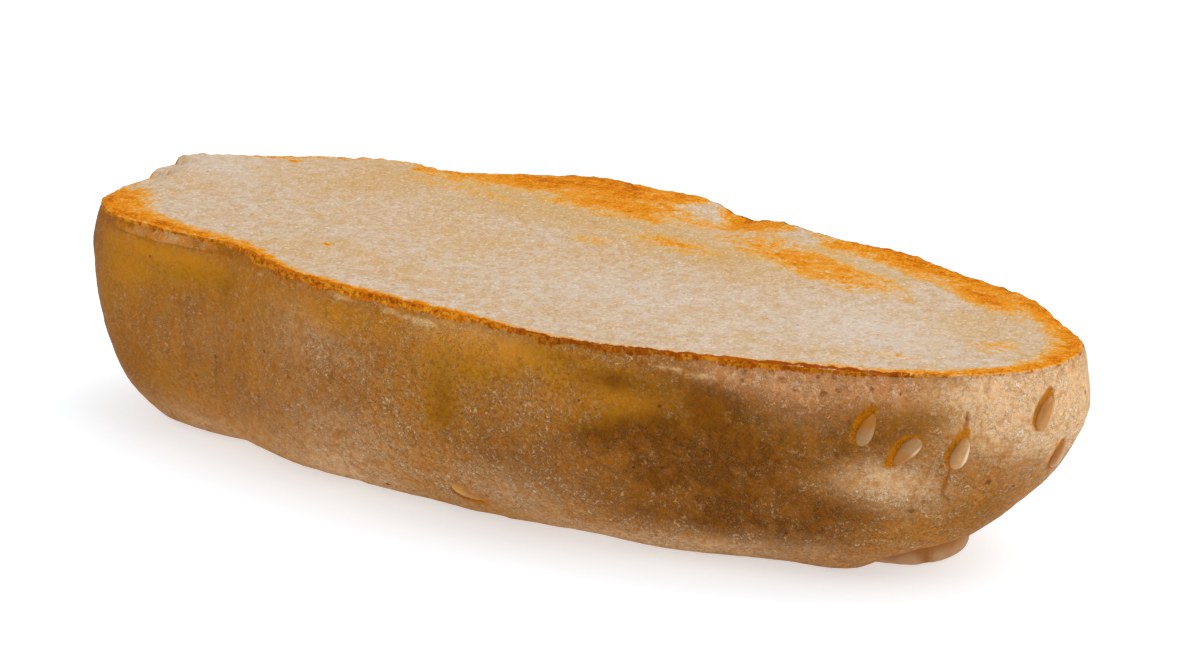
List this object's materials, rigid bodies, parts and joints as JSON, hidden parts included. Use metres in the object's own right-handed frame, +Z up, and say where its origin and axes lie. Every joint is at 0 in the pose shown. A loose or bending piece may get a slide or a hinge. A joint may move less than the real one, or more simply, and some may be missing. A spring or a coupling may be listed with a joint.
{
  "type": "bread roll half",
  "caption": "Lower half of a small soft oblong bread roll, cut lengthwise, with a flat toasted cut face, a browned crust and sesame seeds pressed into one end.",
  "frame": {"origin": "middle of the flat baked underside", "axes": "+X along the roll's length towards its seeded end, -Y towards its better lit long side, +Z up out of the cut face"},
  "size_m": [0.1066, 0.0441, 0.0225],
  "materials": {
    "crust": "dry golden brown bread crust, cut face of pale toasted crumb"
  },
  "bodies": {
    "root": {"bolillo_half": "crust"}
  },
  "joints": []
}
